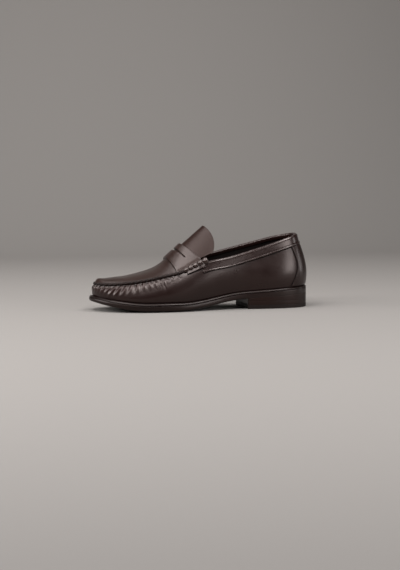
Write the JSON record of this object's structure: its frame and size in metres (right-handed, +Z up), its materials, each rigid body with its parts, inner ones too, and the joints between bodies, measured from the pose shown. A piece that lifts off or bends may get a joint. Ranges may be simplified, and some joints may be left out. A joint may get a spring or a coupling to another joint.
{
  "type": "leather loafer",
  "caption": "Left dress loafer in dark brown polished leather: moccasin apron with gathered seam, slotted saddle strap, raised tongue, bound collar, welted sole and stacked heel.",
  "frame": {"origin": "centre of the shoe's box, on the floor under the sole", "axes": "+Z up from the floor, -X towards the toe, +X towards the heel, -Y towards the outer side of the foot"},
  "size_m": [0.3048, 0.1016, 0.113],
  "materials": {
    "upper_leather": "polished smooth calf, dark brown",
    "binding_leather": "polished smooth calf, dark brown",
    "sole_leather": "stained and waxed sole edge",
    "heel_leather": "stacked leather, stained and waxed",
    "heel_rubber": "matt rubber",
    "lining_leather": "matt lining leather"
  },
  "bodies": {
    "root": {"outsole": "sole_leather", "welt": "sole_leather", "insole": "lining_leather", "heel_wedge": "heel_leather", "heel_lift": "heel_leather", "heel_top_piece": "heel_rubber", "upper": "upper_leather", "tongue": "upper_leather", "saddle_strap": "upper_leather", "saddle_roll_outer": "upper_leather", "saddle_roll_inner": "upper_leather", "topline_binding": "binding_leather", "heel_strip": "upper_leather"}
  },
  "joints": []
}
